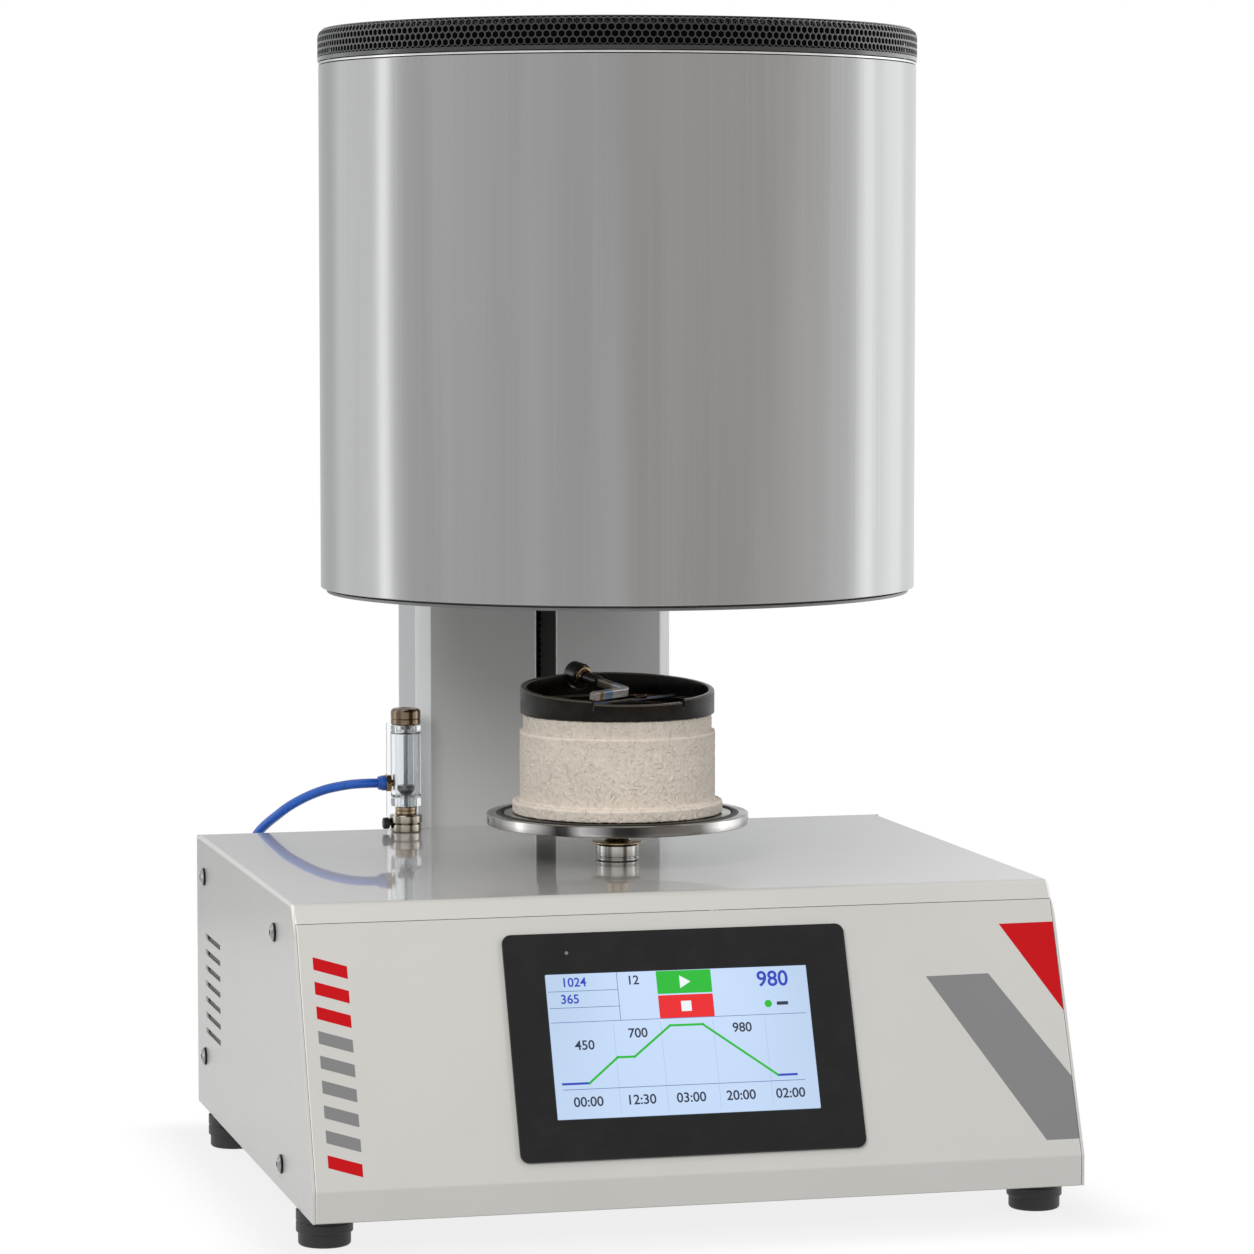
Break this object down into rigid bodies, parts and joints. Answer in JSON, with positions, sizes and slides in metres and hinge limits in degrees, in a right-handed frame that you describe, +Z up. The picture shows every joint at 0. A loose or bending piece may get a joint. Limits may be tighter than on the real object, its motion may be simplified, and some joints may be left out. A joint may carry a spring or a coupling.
{
  "type": "dental heat treatment furnace",
  "caption": "Bench-top dental heat treatment furnace: a cylindrical heating head rides down a rear column over a small table on a sloping-front base with a touch display and a gas flowmeter.",
  "frame": {"origin": "on the floor below the middle of the base's width and of the whole depth", "axes": "X to the right as seen from the front, Y to the back, Z up"},
  "size_m": [0.4534, 0.4601, 0.6838],
  "materials": {
    "white_paint": "satin",
    "column_paint": "satin",
    "sheet_steel": "satin",
    "steel": "satin",
    "chrome": "polished",
    "aluminium": "satin",
    "black_metal": "matte",
    "bronze": "gloss",
    "ceramic": "matte",
    "ceramic_fibre": "matte",
    "tray_black": "satin",
    "rubber": "matte",
    "black_plastic": "satin",
    "screen": "gloss",
    "clear_glass": "gloss",
    "blue_hose": "gloss",
    "circuit_board": "satin"
  },
  "bodies": {
    "base": {"base_tray": "sheet_steel", "top_cover": "white_paint", "front_panel": "white_paint", "rear_panel": "white_paint", "display_housing": "black_plastic", "display_glass": "screen", "control_board": "circuit_board", "foot_front_left": "rubber", "foot_front_right": "rubber", "foot_rear_left": "rubber", "foot_rear_right": "rubber", "screw_left_upper_rear": "chrome", "screw_left_upper_front": "chrome", "screw_left_lower_rear": "chrome", "screw_left_lower_front": "chrome", "screw_right_upper_rear": "chrome", "screw_right_upper_front": "chrome", "screw_right_lower_rear": "chrome", "screw_right_lower_front": "chrome", "fan_frame": "black_plastic", "power_inlet": "black_plastic", "column_cover": "column_paint", "column_back": "column_paint", "rod_block_lower": "aluminium", "rod_block_upper": "aluminium", "guide_rod_left": "chrome", "guide_rod_right": "chrome", "lift_motor": "black_metal", "post_housing": "chrome", "post_spindle": "bronze", "table_plate": "steel", "table_seal": "rubber", "ceramic_base": "ceramic", "flowmeter_base": "bronze", "flowmeter_glass": "clear_glass", "flowmeter_cap": "bronze", "flowmeter_bracket": "clear_glass", "hose_fitting": "bronze", "gas_hose": "blue_hose", "bulkhead_fitting": "bronze"},
    "head": {"head_shell": "sheet_steel", "head_base_ring": "sheet_steel", "head_lid": "sheet_steel", "mesh_guard": "black_metal", "insulation": "ceramic_fibre", "heating_muffle": "ceramic", "thermocouple": "steel", "carriage": "aluminium", "lead_nut": "bronze", "head_arm": "black_metal"},
    "lead_screw": {"lead_screw": "steel"},
    "tray": {"tray_ring": "tray_black", "tray_strip": "steel"},
    "hook": {"hook_knob": "black_plastic", "hook_collar": "bronze", "hook_arm": "steel"},
    "float": {"flowmeter_float": "black_metal"},
    "valve": {"valve_knob": "black_plastic"},
    "fan_rotor": {"fan_rotor": "black_plastic"},
    "rocker": {"rocker_switch": "black_plastic"}
  },
  "joints": [
    {"name": "head_lift", "type": "slide", "parent": "base", "child": "head", "axis": [0, 0, -1], "range_m": [0, 0.1325]},
    {"name": "lead_screw_turn", "type": "hinge", "parent": "base", "child": "lead_screw", "pos_m": [0.002, 0.1986, 0.3], "axis": [0, 0, 1], "range_deg": [0, 11930]},
    {"name": "tray_lift", "type": "slide", "parent": "base", "child": "tray", "axis": [0, 0, 1], "range_m": [0, 0.045]},
    {"name": "hook_turn", "type": "hinge", "parent": "tray", "child": "hook", "pos_m": [-0.0095, 0.0366, 0.2961], "axis": [-0.4462, 0.8818, 0.153], "range_deg": [0, 90]},
    {"name": "float_rise", "type": "slide", "parent": "base", "child": "float", "axis": [0, 0, 1], "range_m": [0, 0.025]},
    {"name": "valve_turn", "type": "hinge", "parent": "base", "child": "valve", "pos_m": [-0.1031, 0.152, 0.1943], "axis": [-1, 0, 0], "range_deg": [0, 1080]},
    {"name": "fan_spin", "type": "hinge", "parent": "base", "child": "fan_rotor", "pos_m": [0.126, 0.156, 0.1284], "axis": [0, 1, 0], "continuous": true},
    {"name": "rocker_tilt", "type": "hinge", "parent": "base", "child": "rocker", "pos_m": [0.187, 0.1637, 0.1059], "axis": [1, 0, 0], "range_deg": [-12, 0]}
  ],
  "couplings": [
    {"joint": "lead_screw_turn", "follows": "head_lift", "rad_per_m": 1570.8}
  ]
}
